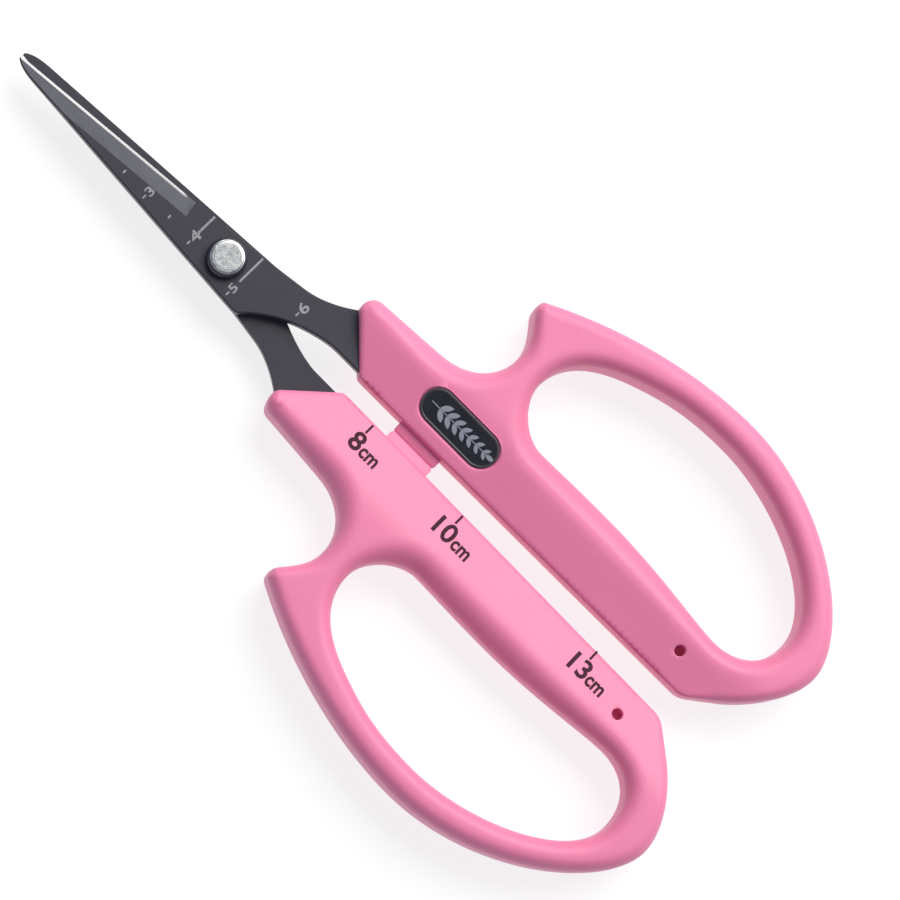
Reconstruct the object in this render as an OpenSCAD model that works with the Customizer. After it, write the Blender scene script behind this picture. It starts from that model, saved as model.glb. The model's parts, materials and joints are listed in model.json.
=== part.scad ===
// Floral snips: two blades on one rivet, each with a moulded handle round its tang.
// The snips lie flat and closed. +X points to the blade tips, +Y to the handle with the
// depth scale, +Z up. The origin is under the middle of the snips, on the surface below.
// Every outline below is drawn about the rivet, and place() shifts it to that origin.
// The two halves are the same part turned over: half a turn about X makes one the other.

/* [Blades] */
// Distance from the rivet to the blade tips
blade_reach = 45.6; // [38:0.1:56]
// Thickness of each blade
blade_t = 2.2; // [1.6:0.1:2.6]
// Half width of a blade beside the rivet, from the long axis to the spine
pivot_half_w = 4.6; // [4.4:0.1:5.8]
// Half width of a blade where the spine turns in to the point
point_half_w = 1.9; // [1.4:0.1:2.4]
// Length of the turned-in point
point_len = 5; // [3:0.5:8]
// Distance from the rivet to the heel of the cutting edge
heel_x = 11; // [9:0.5:15]
// Depth of the cutting edge below the long axis at the heel
heel_depth = 3.05; // [2.6:0.05:3.6]
// Width of the ground bevel
bevel_w = 3; // [2:0.1:3.6]
// Thickness left at the cutting edge
edge_land = 0.15; // [0.1:0.05:0.4]
// Depth of the hollow ground into the inner face
hollow_depth = 0.1; // [0.05:0.05:0.2]
// Running gap between the two inner faces
face_gap = 0.04; // [0.02:0.01:0.1]

/* [Necks and tangs] */
// Distance from the rivet to the handle's front corner
neck_len = 20.1; // [17:0.1:26]
// How far the neck's inner edge stands back from the handle's gap side
neck_set_back = 0.6; // [0.1:0.05:0.8]
// Length of the tang inside the handle
tang_len = 40; // [30:1:48]
// Wall of handle plastic between the gap side and the tang
tang_wall = 2.35; // [1.5:0.05:3]
// Width of the tang
tang_w = 6.2; // [4.5:0.1:7]
// Diameter of the anchor holes in the tang
anchor_d = 3.4; // [2:0.1:4]
// Clearance between the moulded plastic and the steel
mould_clear = 0.02; // [0.01:0.01:0.05]

/* [Handles] */
// Length of a handle, from its front corner to its tail
handle_len = 92.2; // [76:0.1:112]
// Width of a handle, from its gap side to the outside of the finger loop
handle_w = 39.35; // [32:0.05:48]
// Thickness of a handle at the finger loop
handle_t = 11; // [9.6:0.2:13.4]
// Thickness of a handle along its gap side
gap_side_t = 4.7; // [4.6:0.1:5.8]
// Half of the gap between the handles at the front
gap_half = 1.65; // [1.4:0.05:3]
// Extra half gap at the tails
gap_flare = 0.6; // [0:0.05:1]
// Run of the slanted front end, along and across the handle
front_slant = 7; // [6:0.1:8.4]
// Width of the straight bar at its front end
bar_front_w = 10.95; // [9.5:0.05:13]
// Width of the straight bar in the middle of the finger loop
bar_w = 12.45; // [10.5:0.05:15]
// Width of the straight bar at the back of the finger loop
bar_tail_w = 9.95; // [9:0.05:12.5]
// Width of the loop's rim, seen from above
rim_w = 5.1; // [4.4:0.1:6.8]
// Width of the rim at the tail
rim_tail_w = 7; // [5.6:0.1:8.4]
// Distance from the handle's front corner to the bottom of the finger notch
notch_back = 23.3; // [19:0.1:27]
// Thickness of the web between the finger notch and the loop
web_w = 5.4; // [4.5:0.1:6.8]
// Distance from the gap side to the bottom of the finger notch
notch_out = 20.15; // [18:0.05:23]
// Reach of the horn in front of the bottom of the notch
horn_reach = 3.8; // [2.5:0.1:4.5]
// Distance from the gap side to the tip of the horn
horn_out = 27.95; // [26:0.05:31]
// How far the rounded edges come in from the side
round_in = 1.1; // [0.6:0.1:1.2]
// Height of the rounded edges
round_up = 2.8; // [1.5:0.1:3.8]
// Distance from the gap side to the ridge where the sloping face levels off
ridge_out = 9.15; // [8:0.05:11]

/* [Stop lugs] */
// Length of the stop lugs
lug_len = 8.8; // [6:0.1:11]
// Thickness of the stop lugs where they meet
lug_t = 1.8; // [1.2:0.1:2.4]
// Thickness of the stop lugs at the handle's gap side
lug_root_t = 3; // [2:0.1:3.8]
// Distance from the handle's front corner to the stop lugs
lug_back = 17.4; // [14:0.1:20]
// Gap between the closed stop lugs
lug_gap = 0.02; // [0.01:0.01:0.1]

/* [Pin holes] */
// Diameter of the blind mould pin holes
pin_hole_d = 1.8; // [1.2:0.1:2.5]
// Depth of the pin holes
pin_hole_depth = 3; // [1.5:0.1:3.4]
// Distance from the tail to the pin holes
pin_hole_from_tail = 18.4; // [16:0.1:22]
// Distance from the gap side to the pin holes
pin_hole_out = 5.45; // [4:0.05:6.5]

/* [Rivet] */
// Diameter of the rivet's shank
shank_d = 4; // [3:0.1:4.6]
// Radial clearance of the shank in the upper blade
shank_seat_clear = 0.01; // [0.01:0.01:0.03]
// Radial clearance of the shank in the lower blade, which turns on it
shank_run_clear = 0.04; // [0.02:0.01:0.08]
// Diameter of the rivet's head
head_d = 6.5; // [5.6:0.1:7.4]
// Diameter of the flat on the rivet's head
head_flat_d = 5.2; // [4:0.1:5.4]
// Height of the rivet's head
head_h = 2; // [1:0.1:2.4]
// Diameter of the peened tail
tail_d = 5.2; // [4.8:0.1:6]
// Height of the peened tail
tail_h = 0.9; // [0.6:0.1:1.2]
// Diameter of the washer under the peened tail
washer_d = 6.6; // [6.2:0.1:7.4]
// Thickness of the washer
washer_t = 0.4; // [0.3:0.05:0.6]

/* [Label plate] */
// Length of the label plate
label_len = 15.4; // [12:0.1:18]
// Width of the label plate
label_w = 5.9; // [4.5:0.1:6.2]
// Thickness of the label plate
label_t = 0.4; // [0.3:0.05:0.5]
// Clearance round the label plate in its recess
label_clear = 0.1; // [0.05:0.05:0.2]
// Distance from the handle's front corner to the middle of the label plate
label_back = 24.6; // [20:0.1:28]
// Distance from the gap side to the middle of the label plate, along the sloping face
label_out = 5.7; // [4.4:0.1:6]

/* [Hidden] */

steel_black = "#4a4854";
rivet_silver = "#c8cacc";
moulded_pink = "#f49abd";
label_dark = "#22242e";

// Stations along the handle
front_x = -neck_len;
tail_x = front_x - handle_len;
notch_x = front_x - notch_back;
hole_front_x = notch_x - web_w;
hole_back_x = tail_x + rim_tail_w;
hole_len = hole_front_x - hole_back_x;
horn_x = notch_x + horn_reach;
tail_corner_x = tail_x + 13.2;

// Stations across the handle
loop_y = gap_half + handle_w;
hole_out_y = loop_y - rim_w;
hole_in_y = gap_half + bar_w;
hole_tail_y = gap_half + bar_tail_w + gap_flare;
front_top_y = gap_half + bar_front_w;
notch_y = gap_half + notch_out;
horn_y = gap_half + horn_out;

// The sloping face, from the gap side up to the ridge
slope = atan((handle_t - gap_side_t) / 2 / ridge_out);

// The tang's place across the handle
tang_in_y = gap_half + tang_wall;
tang_out_y = tang_in_y + tang_w;
tang_end_x = front_x - tang_len;

// The cutting edge runs from the heel to the tip
tip_edge_y = 0.15;
edge_angle = atan((heel_depth + tip_edge_y) / (blade_reach - heel_x));
bevel_angle = atan((blade_t - edge_land) / bevel_w);

mid_x = (blade_reach + tail_x) / 2;
big = 400;

// ---------- curves ----------

// Point at t on the curve with end points a, d and pull points b, c
function curve_point(a, b, c, d, t) =
    a * pow(1 - t, 3) + b * 3 * t * pow(1 - t, 2) + c * 3 * t * t * (1 - t) + d * pow(t, 3);

function heading(angle) = [cos(angle), sin(angle)];

// A knot is [point, heading, pull before it, pull after it, steps to the next knot].
// One step makes a straight line to the next knot.
function stretch(k, m) =
    [for (i = [0 : k[4] - 1])
        curve_point(k[0], k[0] + k[3] * heading(k[1]), m[0] - m[2] * heading(m[1]), m[0], i / k[4])];

// Closed outline through a list of knots
function outline(knots) =
    [for (i = [0 : len(knots) - 1])
        each stretch(knots[i], knots[(i + 1) % len(knots)])];

function unit(v) = v / norm(v);
function left_of(v) = [-v[1], v[0]];

// How far each point of an outline moves for an inward step of one
function inward(pts) =
    [for (i = [0 : len(pts) - 1])
        let (n = len(pts),
             before = left_of(unit(pts[i] - pts[(i + n - 1) % n])),
             after = left_of(unit(pts[(i + 1) % n] - pts[i])),
             mean = unit(before + after))
        mean / max(mean * after, 0.5)];

// ---------- outlines, about the rivet ----------

// Outside of a handle, from the tail corner along the gap side and round the loop
handle_knots = [
    [[tail_corner_x + 1.2, gap_half + gap_flare], -0.4, 1.1, 1, 1],
    [[front_x - front_slant - 1.8, gap_half], 0, 1, 0.9, 4],
    [[front_x - front_slant - 0.1, gap_half + 0.7], 45, 0.9, 1, 1],
    [[front_x - 0.5, gap_half + front_slant + 0.2], 45, 1, 0.5, 4],
    [[front_x, gap_half + front_slant + 1.5], 90, 0.5, 0.6, 5],
    [[front_x - 1.9, front_top_y], 176, 1.3, 5, 8],
    [[notch_x + 8.5, front_top_y + 1.05], 175, 4, 4.2, 10],
    [[notch_x, notch_y], 90, 5.2, 2.6, 7],
    [[horn_x - 0.7, horn_y - 1.2], 50, 3, 0.5, 4],
    [[horn_x, horn_y + 0.4], 90, 0.6, 1.1, 4],
    [[horn_x - 1.5, horn_y + 2.1], 152.5, 0.8, 11.5, 14],
    [[tail_x + 35, loop_y], 180, 12.5, 18, 16],
    [[tail_x, gap_half + 17.5], 270, 8.8, 4.4, 9],
    [[tail_corner_x - 5.7, gap_half + 4.9], 318.5, 4.8, 2, 1],
    [[tail_corner_x - 1.6, gap_half + gap_flare + 1.15], 320, 1, 1.1, 4]
];

// Finger loop, from its end nearest the rivet and anticlockwise
loop_knots = [
    [[hole_front_x, notch_y - 0.4], 90, 4, 6.2, 8],
    [[hole_front_x - hole_len * 0.2, hole_out_y - 2.8], 161, 7, 5, 8],
    [[hole_front_x - hole_len * 0.5, hole_out_y], 180, 8, 12, 12],
    [[hole_back_x, hole_tail_y + 8], 270, 8.5, 5, 8],
    [[hole_back_x + 8.5, hole_tail_y], 0, 5.2, 4, 8],
    [[hole_front_x - hole_len * 0.4, hole_in_y], 0, 12, 8, 6],
    [[hole_front_x - 7.8, hole_in_y - 0.25], 0, 3, 3.4, 8]
];

// Upper blade with its neck and tang; the cutting edge is on the -Y side
blade_knots = [
    [[tang_end_x + tang_w / 2, -tang_out_y], 0, tang_w * 0.28, 4, 1],
    [[front_x - 6, -tang_out_y], 0, 4, 3, 6],
    [[front_x - 0.3, -gap_half - front_slant - 0.65], 37, 2, 2.4, 8],
    [[-12, -pivot_half_w - 0.9], 8, 3.4, 3, 5],
    [[-3.5, -pivot_half_w + 0.2], 5.5, 3, 4, 6],
    [[heel_x, -heel_depth], 7, 4, 1, 1],
    [[blade_reach - 0.1, tip_edge_y], edge_angle, 1, 0.1, 3],
    [[blade_reach - 0.1, tip_edge_y + 0.5], 142, 0.15, 1.3, 5],
    [[blade_reach - point_len, point_half_w], 176.5, 2.4, 3, 1],
    [[-6.2, pivot_half_w + 0.45], 184, 1, 1, 4],
    [[-7.8, pivot_half_w - 0.3], 230, 0.8, 1.6, 6],
    [[-13.9, 0], 204, 2.4, 2, 6],
    [[front_x - 2.6, -gap_half - neck_set_back], 180, 3, 2, 1],
    [[front_x - front_slant - 0.6, -gap_half - neck_set_back], 180, 1, 0.8, 3],
    [[front_x - front_slant - 3.2, -tang_in_y], 180, 1.4, 2, 1],
    [[tang_end_x + tang_w / 2, -tang_in_y], 180, 2, tang_w * 0.28, 5],
    [[tang_end_x, -(tang_in_y + tang_out_y) / 2], 270, tang_w * 0.28, tang_w * 0.28, 5]
];

handle_outline = outline(handle_knots);
loop_outline = outline(loop_knots);
blade_outline = outline(blade_knots);

// ---------- helpers ----------

module place() { translate([-mid_x, 0, handle_t / 2]) children(); }

// Half a turn about the long axis, which makes one half of the snips into the other
module turn_over() { rotate([180, 0, 0]) children(); }

// Solid with one outline at every level, moved in or out by each level's own step.
// A level is [height, inward step], from the bottom up.
module lofted(pts, levels) {
    n = len(pts);
    rows = len(levels);
    steps = inward(pts);
    points = [for (level = levels) for (i = [0 : n - 1])
        let (p = pts[i] + steps[i] * level[1]) [p[0], p[1], level[0]]];
    walls = [for (r = [0 : rows - 2]) for (i = [0 : n - 1])
        let (a = r * n + i, b = r * n + (i + 1) % n)
        each [[a, a + n, b], [b, a + n, b + n]]];
    bottom = [for (i = [0 : n - 1]) i];
    top = [for (i = [n - 1 : -1 : 0]) (rows - 1) * n + i];
    polyhedron(points, concat(walls, [bottom], [top]), convexity = 10);
}

// Levels of a quarter-round edge on both faces; side is 1 for the outside, -1 for a hole.
// The last level lies over the face, so that the slab cuts the face flat.
over = 0.4;
function edge_levels(side) =
    let (half = [for (a = [0, 35, 62, 90])
            [handle_t / 2 - round_up + (round_up + over) * sin(a), side * round_in * (1 - cos(a))]])
    concat([for (i = [len(half) - 1 : -1 : 0]) [-half[i][0], half[i][1]]], half);

// Rounded pill, flat on z = 0
module pill(length, width, height) {
    linear_extrude(height) {
        square([length - width, width], center = true);
        for (end = [-1, 1]) translate([end * (length - width) / 2, 0]) circle(d = width, $fn = 48);
    }
}

// ---------- handles ----------

// Everything above the sloping upper face; the lower face is its mirror image
module above_slope() {
    translate([-big / 2, gap_half, gap_side_t / 2])
        rotate([slope, 0, 0])
            translate([0, -big / 2, 0]) cube([big, big, big / 4]);
}

// Its upper and lower faces slope down to the face that meets the other lug
module stop_lug() {
    root_y = gap_half + 1;
    chamfer = 0.4;
    seam_y = lug_gap / 2;
    half = lug_len / 2;
    translate([front_x - lug_back - half, 0, 0]) intersection() {
        translate([0, 0, -lug_root_t]) linear_extrude(2 * lug_root_t)
            polygon([[-half, root_y], [-half, chamfer], [-half + chamfer, seam_y],
                     [half - chamfer, seam_y], [half, chamfer], [half, root_y]]);
        rotate([90, 0, 90]) translate([0, 0, -half - 1]) linear_extrude(lug_len + 2)
            polygon([[0, -lug_t / 2], [root_y, -lug_root_t / 2], [root_y, lug_root_t / 2], [0, lug_t / 2]]);
    }
}

// Blind holes left by the mould pins, one from each face
module pin_holes() {
    out = pin_hole_out;
    mouth = gap_side_t / 2 + out * tan(slope);
    for (face = [0, 180])
        translate([tail_x + pin_hole_from_tail, gap_half + out, 0])
            rotate([face, 0, 0])
                translate([0, 0, mouth - pin_hole_depth]) cylinder(d = pin_hole_d, h = big / 4, $fn = 32);
}

// The plain moulding: rounded outline, finger loop, sloping faces and stop lug
module handle_moulding() {
    union() {
        difference() {
            intersection() {
                lofted(handle_outline, edge_levels(1));
                cube([big, big, handle_t], center = true);
            }
            lofted(loop_outline, edge_levels(-1));
            above_slope();
            mirror([0, 0, 1]) above_slope();
        }
        stop_lug();
    }
}

// The left handle holds the lower blade, on the -Z side of the long axis
module handle_half() {
    difference() {
        handle_moulding();
        turn_over() tang_space();
        pin_holes();
    }
}

// Puts its children on the sloping face of the right handle, flat side down
module on_label_seat() {
    translate([front_x - label_back, -gap_half, gap_side_t / 2])
        rotate([-slope, 0, 0])
            translate([0, -label_out, 0]) children();
}

module left_handle() {
    color(moulded_pink) place() handle_half();
}

module right_handle() {
    color(moulded_pink) place() difference() {
        turn_over() handle_half();
        on_label_seat() translate([0, 0, -label_t])
            pill(label_len + 2 * label_clear, label_w + 2 * label_clear, big / 8);
    }
}

// ---------- blades ----------

module blade_plate() {
    translate([0, 0, face_gap / 2]) linear_extrude(blade_t - face_gap / 2) polygon(blade_outline);
}

module anchor_holes(d) {
    for (back = [14, 32])
        translate([front_x - back, -(tang_in_y + tang_out_y) / 2, -1])
            cylinder(d = d, h = blade_t + 2, $fn = 48);
}

// Ground bevel on the outer face, from a little behind the heel to the tip
module bevel_cut() {
    lead = 1.6;
    translate([heel_x, -heel_depth, 0])
        rotate([0, 0, edge_angle])
            translate([-lead, 0, edge_land])
                rotate([bevel_angle, 0, 0])
                    translate([0, -big / 4, 0]) cube([big / 2, big / 2, big / 4]);
}

// Shallow hollow along the inner face, clear of the cutting edge and the spine
module hollow_cut() {
    hollow_r = 12;
    start_x = heel_x - 1;
    translate([start_x, -0.55, face_gap / 2 + hollow_depth - hollow_r])
        rotate([0, 90, 1.5])
            cylinder(r = hollow_r, h = (blade_reach - start_x) * 0.6, $fn = 96);
}

// Upper blade, lying on the long axis plane, with a bore for the shank
module blade(bore_d) {
    difference() {
        blade_plate();
        anchor_holes(anchor_d);
        bevel_cut();
        hollow_cut();
        translate([0, 0, -1]) cylinder(d = bore_d, h = blade_t + 2, $fn = 64);
    }
}

// Space that the plastic leaves for the upper blade's tang, with pegs through its anchor holes
module tang_space() {
    steps = inward(blade_outline);
    grown = [for (i = [0 : len(blade_outline) - 1]) blade_outline[i] - steps[i] * mould_clear];
    difference() {
        translate([0, 0, face_gap / 2 - mould_clear])
            linear_extrude(blade_t - face_gap / 2 + 2 * mould_clear) polygon(grown);
        anchor_holes(anchor_d - 2 * mould_clear);
    }
}

module upper_blade() {
    color(steel_black) place() blade(shank_d + 2 * shank_seat_clear);
}

module lower_blade() {
    color(steel_black) place() turn_over() blade(shank_d + 2 * shank_run_clear);
}

// ---------- rivet ----------

// Underside of the washer, which lies a running gap below the lower blade
tail_z = -blade_t - face_gap - washer_t;

// Points of a quarter-round shoulder from radius r1 at height z1 in to radius r2 at height z2
function shoulder(r1, z1, r2, z2) =
    [for (a = [0 : 15 : 90]) [r2 + (r1 - r2) * cos(a), z1 + (z2 - z1) * sin(a)]];

module pivot_rivet() {
    flank = 0.3;
    color(rivet_silver) place() rotate_extrude($fn = 96)
        polygon(concat(
            [[0, tail_z - tail_h]],
            [for (i = [6 : -1 : 0]) shoulder(tail_d / 2, tail_z - 0.2, shank_d / 4, tail_z - tail_h)[i]],
            [[tail_d / 2, tail_z], [shank_d / 2, tail_z], [shank_d / 2, blade_t], [head_d / 2, blade_t]],
            shoulder(head_d / 2, blade_t + flank, head_flat_d / 2, blade_t + head_h),
            [[0, blade_t + head_h]]));
}

module tail_washer() {
    color(steel_black) place() translate([0, 0, tail_z]) difference() {
        cylinder(d = washer_d, h = washer_t, $fn = 96);
        translate([0, 0, -1]) cylinder(d = shank_d + 2 * shank_seat_clear, h = washer_t + 2, $fn = 64);
    }
}

// ---------- label ----------

module label_plate() {
    color(label_dark) place() on_label_seat() translate([0, 0, -label_t]) pill(label_len, label_w, label_t);
}

upper_blade();
lower_blade();
right_handle();
left_handle();
pivot_rivet();
tail_washer();
label_plate();
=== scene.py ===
import json
import math

import bmesh
import bpy
import numpy as np
from mathutils import Matrix, Vector
from mathutils.geometry import delaunay_2d_cdt

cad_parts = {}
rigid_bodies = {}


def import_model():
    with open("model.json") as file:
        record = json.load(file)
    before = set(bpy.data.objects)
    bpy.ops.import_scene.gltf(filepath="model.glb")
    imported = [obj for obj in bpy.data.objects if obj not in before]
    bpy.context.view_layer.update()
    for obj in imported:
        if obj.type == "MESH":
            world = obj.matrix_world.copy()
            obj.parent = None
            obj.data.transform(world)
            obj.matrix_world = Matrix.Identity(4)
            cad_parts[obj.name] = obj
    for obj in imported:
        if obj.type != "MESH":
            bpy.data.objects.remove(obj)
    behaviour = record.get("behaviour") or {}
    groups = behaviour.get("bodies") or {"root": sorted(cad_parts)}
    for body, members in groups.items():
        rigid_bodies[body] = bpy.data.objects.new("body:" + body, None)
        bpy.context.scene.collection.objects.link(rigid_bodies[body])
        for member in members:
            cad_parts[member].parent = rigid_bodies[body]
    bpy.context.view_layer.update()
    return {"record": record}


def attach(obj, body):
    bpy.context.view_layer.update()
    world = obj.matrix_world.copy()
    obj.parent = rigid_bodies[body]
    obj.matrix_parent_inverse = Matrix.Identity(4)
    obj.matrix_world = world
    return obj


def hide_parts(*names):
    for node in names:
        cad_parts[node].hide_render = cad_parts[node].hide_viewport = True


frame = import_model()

# Floral snips. Shapes are drawn in millimetres about the rivet, with the plane where the
# two blades meet at z = 0, and put() brings them into the frame's metres.
PIVOT = Vector(frame["record"]["behaviour"]["joints"][0]["pos_m"])
MM = 0.001

# ---------------------------------------------------------------- sizes

BLADE_REACH = 45.6
BLADE_T = 2.2
FACE_GAP = 0.02
HEEL = np.array([11.0, -3.05])
TIP_Y = 0.15
EDGE_T = 0.15

NECK_LEN = 20.1
HANDLE_LEN = 92.2
HANDLE_W = 39.35
HANDLE_T = 11.0
GAP_SIDE_T = 4.7
GAP_HALF = 1.65
GAP_FLARE = 0.6
FRONT_SLANT = 7.0
RIDGE_OUT = 9.15

FRONT_X = -NECK_LEN
TAIL_X = FRONT_X - HANDLE_LEN
NOTCH_X = FRONT_X - 23.3
HOLE_FRONT_X = NOTCH_X - 5.4
HOLE_BACK_X = TAIL_X + 7.0
HOLE_LEN = HOLE_FRONT_X - HOLE_BACK_X
HORN_X = NOTCH_X + 3.8
CORNER_X = TAIL_X + 13.2
LOOP_Y = GAP_HALF + HANDLE_W
HOLE_OUT_Y = LOOP_Y - 5.1
HOLE_IN_Y = GAP_HALF + 12.45
HOLE_TAIL_Y = GAP_HALF + 9.95 + GAP_FLARE
FRONT_TOP_Y = GAP_HALF + 10.95
NOTCH_Y = GAP_HALF + 20.15
HORN_Y = GAP_HALF + 27.95
TANG_IN_Y = GAP_HALF + 2.35
TANG_W = 6.2
TANG_END_X = FRONT_X - 40
NECK_Y = GAP_HALF + 0.6

SLOPE = math.atan((HANDLE_T - GAP_SIDE_T) / 2 / RIDGE_OUT)

LUG_LEN = 8.8
LUG_T = 1.8
LUG_ROOT_T = 3.0
LUG_BACK = 17.4

PIN_X = TAIL_X + 18.4
PIN_Y = GAP_HALF + 5.45
PIN_D = 1.8
PIN_DEPTH = 3.0
PIN_MOUTH = 0.16    # how far a pin hole's rounded mouth reaches past it
PIN_ROWS = ((0.06, 0.04), (0.0, 0.14))      # down the rounding: past the hole, below the face
PIN_CLEAR = 0.35    # how far the face's own points keep from the hole

LABEL_LEN = 15.4
LABEL_W = 5.9
LABEL_T = 0.4
LABEL_X = FRONT_X - 24.6
LABEL_OUT = 5.7
LABEL_SINK = 0.08
RECESS_MOUTH = 0.9  # how much larger the recess's mouth is than the label
RECESS_CLEAR = 0.2  # how far the face's own points keep from it
# from the mouth down: growth on the label's size, height over its plane
RECESS_ROWS = ((0.66, -0.05), (0.4, -0.16), (0.22, -0.3), (0.2, -LABEL_T))
# from the plate's underside up and over its raised rim: shrinking of its size, height
PLATE_ROWS = ((0.1, -LABEL_T), (0.0, -LABEL_T + 0.08), (0.0, -0.12), (0.1, -0.04), (0.24, 0.0),
              (0.6, 0.0), (0.84, -LABEL_SINK), (0.9, -LABEL_SINK))

SHANK_D = 4.0
BLADE_BORE_D = 4.04
WASHER_BORE_D = 4.02
HEAD_D = 6.5
HEAD_FLAT_D = 5.2
HEAD_H = 2.0
TAIL_D = 5.2
TAIL_H = 0.9
WASHER_D = 6.6
WASHER_T = 0.4
RUN_GAP = 0.04

# ---------------------------------------------------------------- helpers


def put(points):
    """Millimetres about the rivet to the frame's metres."""
    return [PIVOT + Vector(p) * MM for p in points]


def turned(points):
    """Half a turn about the long axis, which makes one half of the snips into the other."""
    return [(p[0], -p[1], -p[2]) for p in points]


def add_object(name, data):
    made = bpy.data.objects.new(name, data)
    bpy.context.scene.collection.objects.link(made)
    return made


def plain_mesh(carrier):
    """What an object's modifiers, or its curve, come to."""
    bpy.context.view_layer.update()
    ready = carrier.evaluated_get(bpy.context.evaluated_depsgraph_get())
    return bpy.data.meshes.new_from_object(ready)


WELD = 2e-7         # points closer than this, in metres, become one


def mesh_piece(name, points, faces, materials, sharp_deg, face_material=None, outwards=False):
    """A finished piece: mesh in place, object at the origin. A piece of several closed
    parts gives outwards, and each part is then turned to face out."""
    mesh = bpy.data.meshes.new(name)
    mesh.from_pydata(put(points), [], faces)
    for m in materials:
        mesh.materials.append(m)
    if face_material is not None:
        mesh.polygons.foreach_set("material_index", face_material)
    mesh.validate()
    mesh.polygons.foreach_set("use_smooth", [True] * len(mesh.polygons))
    form = bmesh.new()
    form.from_mesh(mesh)
    if outwards:
        bmesh.ops.recalc_face_normals(form, faces=form.faces)
    else:
        bmesh.ops.remove_doubles(form, verts=form.verts, dist=WELD)
    form.to_mesh(mesh)
    form.free()
    mesh.set_sharp_from_angle(angle=math.radians(sharp_deg))
    mesh.update()
    return add_object(name, mesh)


class Shell:
    """Points and faces of one closed skin, gathered part by part."""

    def __init__(self):
        self.points, self.faces, self.kinds = [], [], []

    def add_points(self, points):
        first = len(self.points)
        self.points.extend(tuple(float(c) for c in p) for p in points)
        return list(range(first, len(self.points)))

    def face(self, corners, kind=0):
        self.faces.append(tuple(corners))
        self.kinds.append(kind)

    def strip(self, lower, upper, kind=0):
        """Quads between two closed rows. Seen from outside, upper is above lower and the
        rows run to the right."""
        n = len(lower)
        for i in range(n):
            j = (i + 1) % n
            self.face((lower[i], lower[j], upper[j], upper[i]), kind)

    def fan(self, row, middle, flip, kind=0):
        """Triangles from a closed row to one point; flip turns them over."""
        tip = self.add_points([middle])[0]
        for a, b in zip(row, row[1:] + row[:1]):
            self.face((b, a, tip) if flip else (a, b, tip), kind)


def direction(deg):
    """Unit vector at an angle from +X."""
    return np.array([math.cos(math.radians(deg)), math.sin(math.radians(deg))])


# Straight runs bow out by a hair, so that no three of their points are in line.
BOW = 8e-6
OFF_LINE = 5e-4     # and points put into them later stand off by this


def closed_curve(knots, spacing):
    """Points along a closed outline, with the knots' own extra values between them.
    A knot is (point, heading, pull before, pull after, straight, *extra)."""
    points, extras = [], []
    for k, m in zip(knots, knots[1:] + knots[:1]):
        a, d = np.array(k[0], float), np.array(m[0], float)
        if k[4]:
            b, c = a + (d - a) / 3, d - (d - a) / 3
        else:
            b, c = a + k[3] * direction(k[1]), d - m[2] * direction(m[1])
        run = (np.linalg.norm(b - a) + np.linalg.norm(c - b) + np.linalg.norm(d - c)
               + np.linalg.norm(d - a)) / 2
        steps = max(2, math.ceil(run / spacing / (2 if k[4] else 1)))
        t = np.arange(steps)[:, None] / steps
        row = (a * (1 - t) ** 3 + b * 3 * t * (1 - t) ** 2
               + c * 3 * t * t * (1 - t) + d * t ** 3)
        if k[4]:
            outwards = np.array([d[1] - a[1], a[0] - d[0]]) / np.linalg.norm(d - a)
            row += outwards * t * (1 - t) * 4 * BOW * steps ** 2
        points.append(row)
        e, f = np.array(k[5:], float), np.array(m[5:], float)
        extras.append(e + (f - e) * t * t * (3 - 2 * t))
    return np.concatenate(points), np.concatenate(extras)


def crossed(a, b):
    """Cross product in the plane."""
    return a[..., 0] * b[..., 1] - a[..., 1] * b[..., 0]


def left_normals(points):
    along = np.roll(points, -1, 0) - np.roll(points, 1, 0)
    along /= np.linalg.norm(along, axis=1)[:, None]
    return np.stack([-along[:, 1], along[:, 0]], 1)


def inside(outline, points):
    """Which points lie inside a closed outline."""
    x, y = points[:, 0][:, None], points[:, 1][:, None]
    x1, y1 = outline[:, 0][None], outline[:, 1][None]
    x2, y2 = np.roll(outline[:, 0], -1)[None], np.roll(outline[:, 1], -1)[None]
    spans = (y1 > y) != (y2 > y)
    with np.errstate(divide="ignore", invalid="ignore"):
        cut = x1 + (y - y1) * (x2 - x1) / (y2 - y1)
    return (np.where(spans, x < cut, False).sum(1) % 2).astype(bool)


def distance(outline, points):
    """Distance to a closed outline, and where along it, as a fractional index."""
    a, b = outline, np.roll(outline, -1, 0)
    span = b - a
    length2 = np.maximum((span ** 2).sum(1), 1e-12)
    best = np.full(len(points), np.inf)
    place = np.zeros(len(points))
    for start in range(0, len(points), 2000):
        p = points[start:start + 2000]
        t = ((p[:, None] - a[None]) * span[None]).sum(2) / length2[None]
        t = np.clip(t, 0, 1)
        gap = np.linalg.norm(p[:, None] - (a[None] + t[..., None] * span[None]), axis=2)
        i = gap.argmin(1)
        rows = np.arange(len(p))
        best[start:start + 2000] = gap[rows, i]
        place[start:start + 2000] = i + t[rows, i]
    return best, place


def inset_row(outline, steps, least):
    """The outline moved in, without the points that come closer to it than least."""
    row = outline + steps
    gap, _ = distance(outline, row)
    return row[gap > least]


def at_place(values, place):
    """Values along a closed outline at fractional indices."""
    n = len(values)
    i = np.floor(place).astype(int) % n
    f = (place - np.floor(place))[:, None]
    return values[i] * (1 - f) + values[(i + 1) % n] * f


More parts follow.
